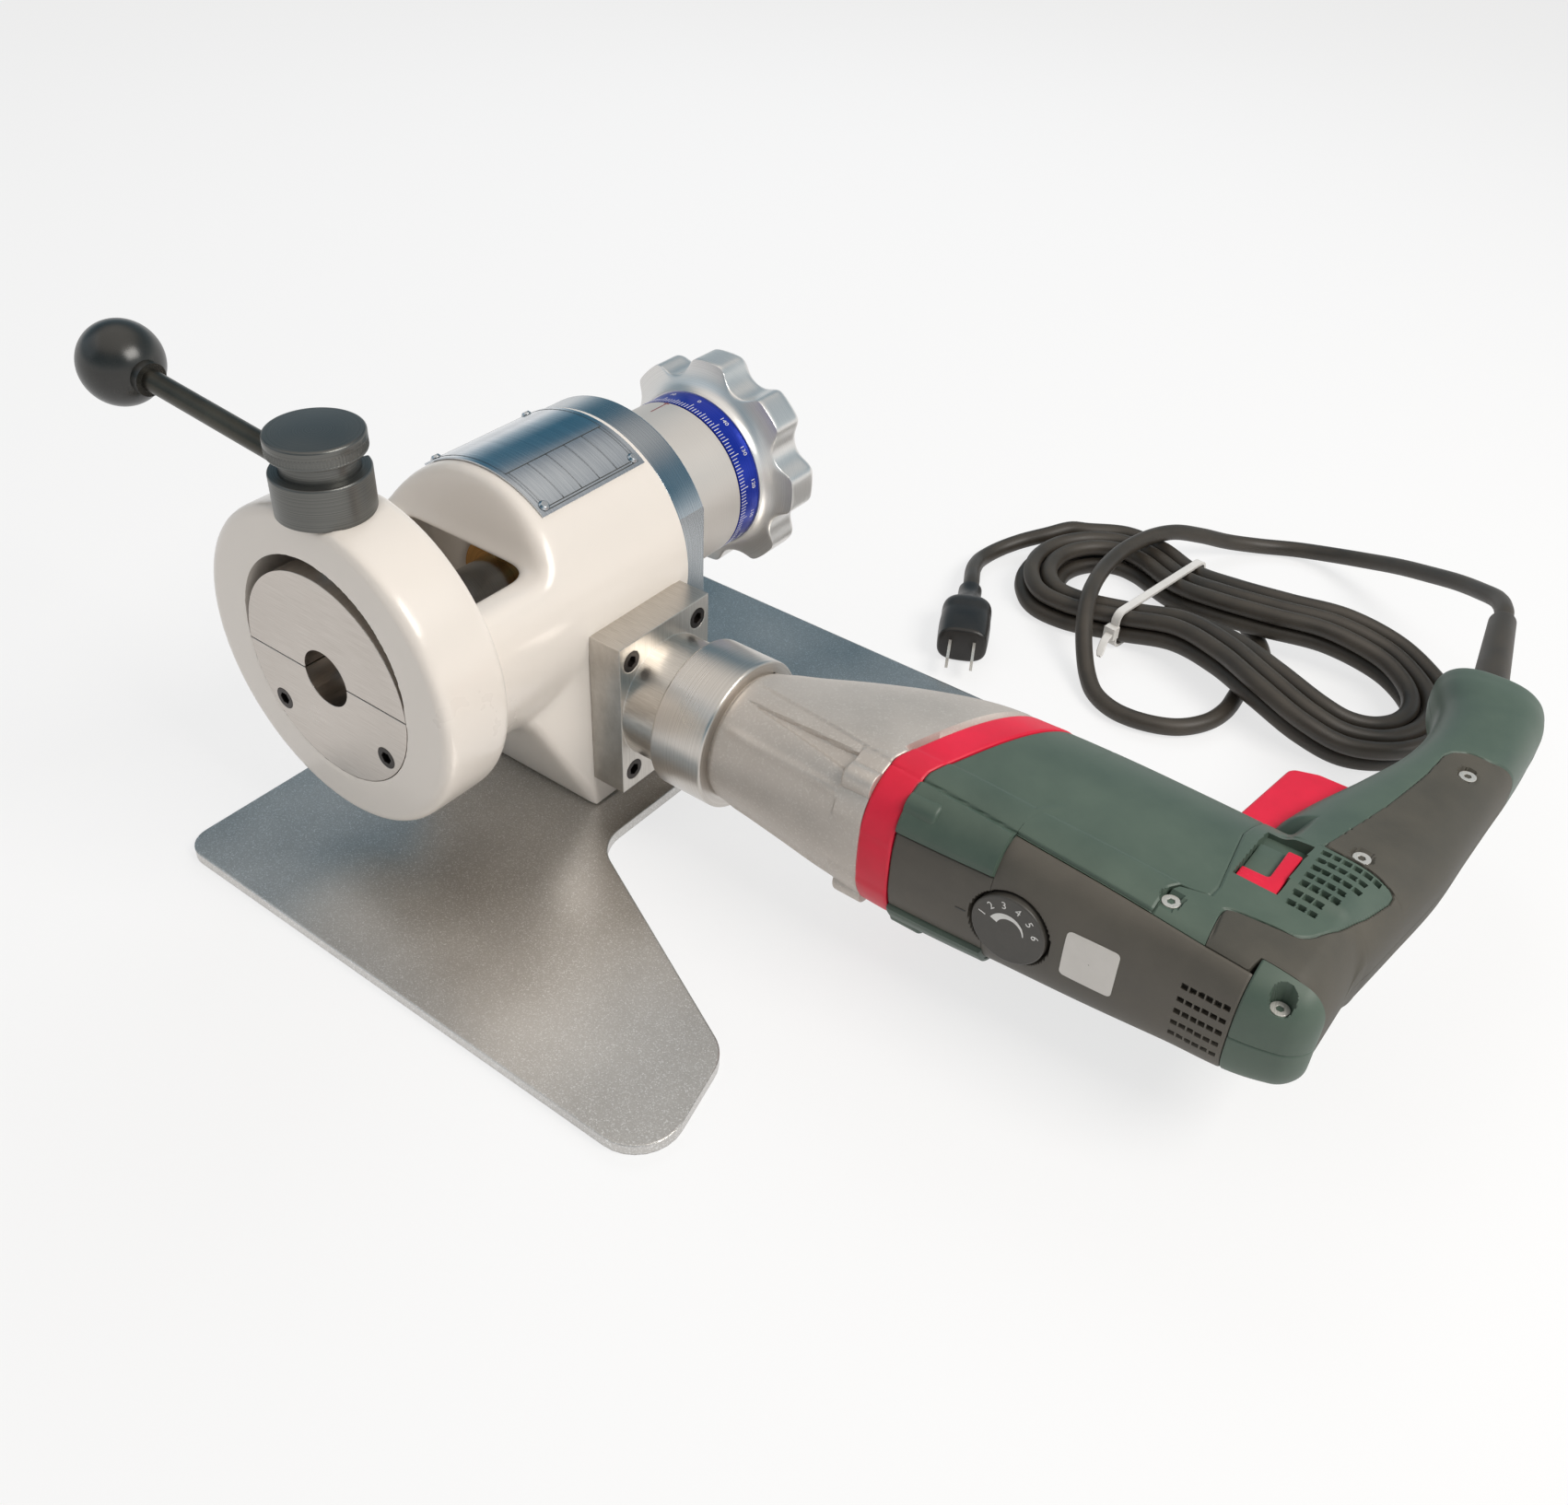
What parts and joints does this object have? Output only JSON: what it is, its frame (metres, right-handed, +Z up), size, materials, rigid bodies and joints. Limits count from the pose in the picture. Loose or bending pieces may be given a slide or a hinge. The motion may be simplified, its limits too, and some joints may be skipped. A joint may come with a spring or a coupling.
{
  "type": "tube facing machine",
  "caption": "Bench tube facing machine: ring clamp with lever-lifted half jaws, worm-driven cutter spindle, star-knob feed, side-mounted corded drill and waisted base plate.",
  "frame": {"origin": "on the table, below the tube axis and in the plane of the clamp ring's front face", "axes": "+Z up, +Y along the tube axis back to the feed knob, +X out along the drill"},
  "size_m": [0.5305, 0.5774, 0.2134],
  "materials": {
    "plate": "sand-blasted satin",
    "enamel": "warm white gloss enamel",
    "jaw_steel": "ground satin",
    "dark_steel": "blackened satin",
    "ball_plastic": "moulded gloss",
    "bright_steel": "polished",
    "aluminium": "turned",
    "blue_ring": "blue anodised with white graduations",
    "bronze": "machined",
    "gear_case": "die cast and painted",
    "red": "moulded",
    "green": "moulded fine texture",
    "olive": "soft moulded",
    "cover": "moulded fine texture",
    "black_rubber": "smooth rubber",
    "white_nylon": "moulded",
    "zinc": "zinc plated"
  },
  "bodies": {
    "root": {"base_plate": "plate", "base_screws": "dark_steel", "body_casting": "enamel", "nameplate": "bright_steel", "nameplate_rivets": "bright_steel", "lower_jaw": "jaw_steel", "jaw_screws": "dark_steel", "clamp_bush": "dark_steel", "end_ring": "bright_steel", "end_ring_screws": "dark_steel", "feed_sleeve": "aluminium", "guide_pin": "bright_steel", "front_bush": "bronze", "wheel_bearings": "bright_steel", "worm_bearings": "bright_steel", "drive_flange": "aluminium", "flange_screws": "dark_steel", "adapter_collar": "aluminium", "gear_housing": "gear_case", "trim_band": "red", "motor_housing": "green", "dial_cover": "cover", "rear_cap": "green", "handle_upper": "green", "handle_lower": "green", "grip_upper": "olive", "grip_lower": "olive", "housing_screws": "zinc", "strain_relief": "black_rubber", "cord_lead": "black_rubber", "cord_hank": "black_rubber", "cord_tail": "black_rubber", "plug": "black_rubber", "plug_blades": "zinc", "cable_tie": "white_nylon"},
    "clamp_lever": {"clamp_hub": "dark_steel", "lever_rod": "dark_steel", "ball_knob": "ball_plastic"},
    "moving_jaw": {"upper_jaw": "jaw_steel", "jaw_stud": "bright_steel"},
    "cap": {"clamp_cap": "dark_steel"},
    "feed_wheel": {"feed_knob": "aluminium", "scale_ring": "blue_ring", "feed_screw": "bright_steel"},
    "plunger": {"feed_plunger": "bright_steel"},
    "gear": {"worm_wheel": "bronze", "drive_key": "bright_steel"},
    "cutter_spindle": {"spindle": "bright_steel", "spindle_nut": "bright_steel", "cutter_head": "jaw_steel", "cutting_insert": "bronze", "insert_screw": "dark_steel"},
    "worm": {"worm_shaft": "bright_steel", "drill_spindle": "bright_steel"},
    "trigger": {"trigger": "red"},
    "slider": {"reverse_slider": "red"},
    "dial": {"speed_dial": "cover"}
  },
  "joints": [
    {"name": "lever_turn", "type": "hinge", "parent": "root", "child": "clamp_lever", "pos_m": [0, 0.014, 0.186], "axis": [0, 0, -1], "range_deg": [0, 90]},
    {"name": "jaw_lift", "type": "slide", "parent": "root", "child": "moving_jaw", "axis": [0, 0, 1], "range_m": [0, 0.007]},
    {"name": "cap_turn", "type": "hinge", "parent": "clamp_lever", "child": "cap", "pos_m": [0, 0.014, 0.2], "axis": [0, 0, 1], "range_deg": [-180, 180]},
    {"name": "feed_turn", "type": "hinge", "parent": "root", "child": "feed_wheel", "pos_m": [0, 0.24, 0.102], "axis": [0, 1, 0], "range_deg": [0, 1800]},
    {"name": "plunger_feed", "type": "slide", "parent": "root", "child": "plunger", "axis": [0, -1, 0], "range_m": [0, 0.01]},
    {"name": "gear_spin", "type": "hinge", "parent": "root", "child": "gear", "pos_m": [0, 0.122, 0.102], "axis": [0, 1, 0], "continuous": true},
    {"name": "spindle_spin", "type": "hinge", "parent": "plunger", "child": "cutter_spindle", "pos_m": [0, 0.122, 0.102], "axis": [0, 1, 0], "continuous": true},
    {"name": "worm_spin", "type": "hinge", "parent": "root", "child": "worm", "pos_m": [0, 0.122, 0.061], "axis": [1, 0, 0], "continuous": true},
    {"name": "trigger_pull", "type": "slide", "parent": "root", "child": "trigger", "axis": [1, 0, 0], "range_m": [0, 0.006], "stiffness_N_per_m": 900, "springref_m": -0.004},
    {"name": "slider_shift", "type": "slide", "parent": "root", "child": "slider", "axis": [0, 1, 0], "range_m": [0, 0.008]},
    {"name": "dial_turn", "type": "hinge", "parent": "root", "child": "dial", "pos_m": [0.2675, 0.094, 0.061], "axis": [0, -1, 0], "range_deg": [0, 300]}
  ],
  "couplings": [
    {"joint": "jaw_lift", "follows": "lever_turn", "m_per_rad": 0.0044563},
    {"joint": "plunger_feed", "follows": "feed_turn", "m_per_rad": 0.00031831},
    {"joint": "spindle_spin", "follows": "gear_spin", "ratio": 1},
    {"joint": "worm_spin", "follows": "gear_spin", "ratio": 24}
  ]
}
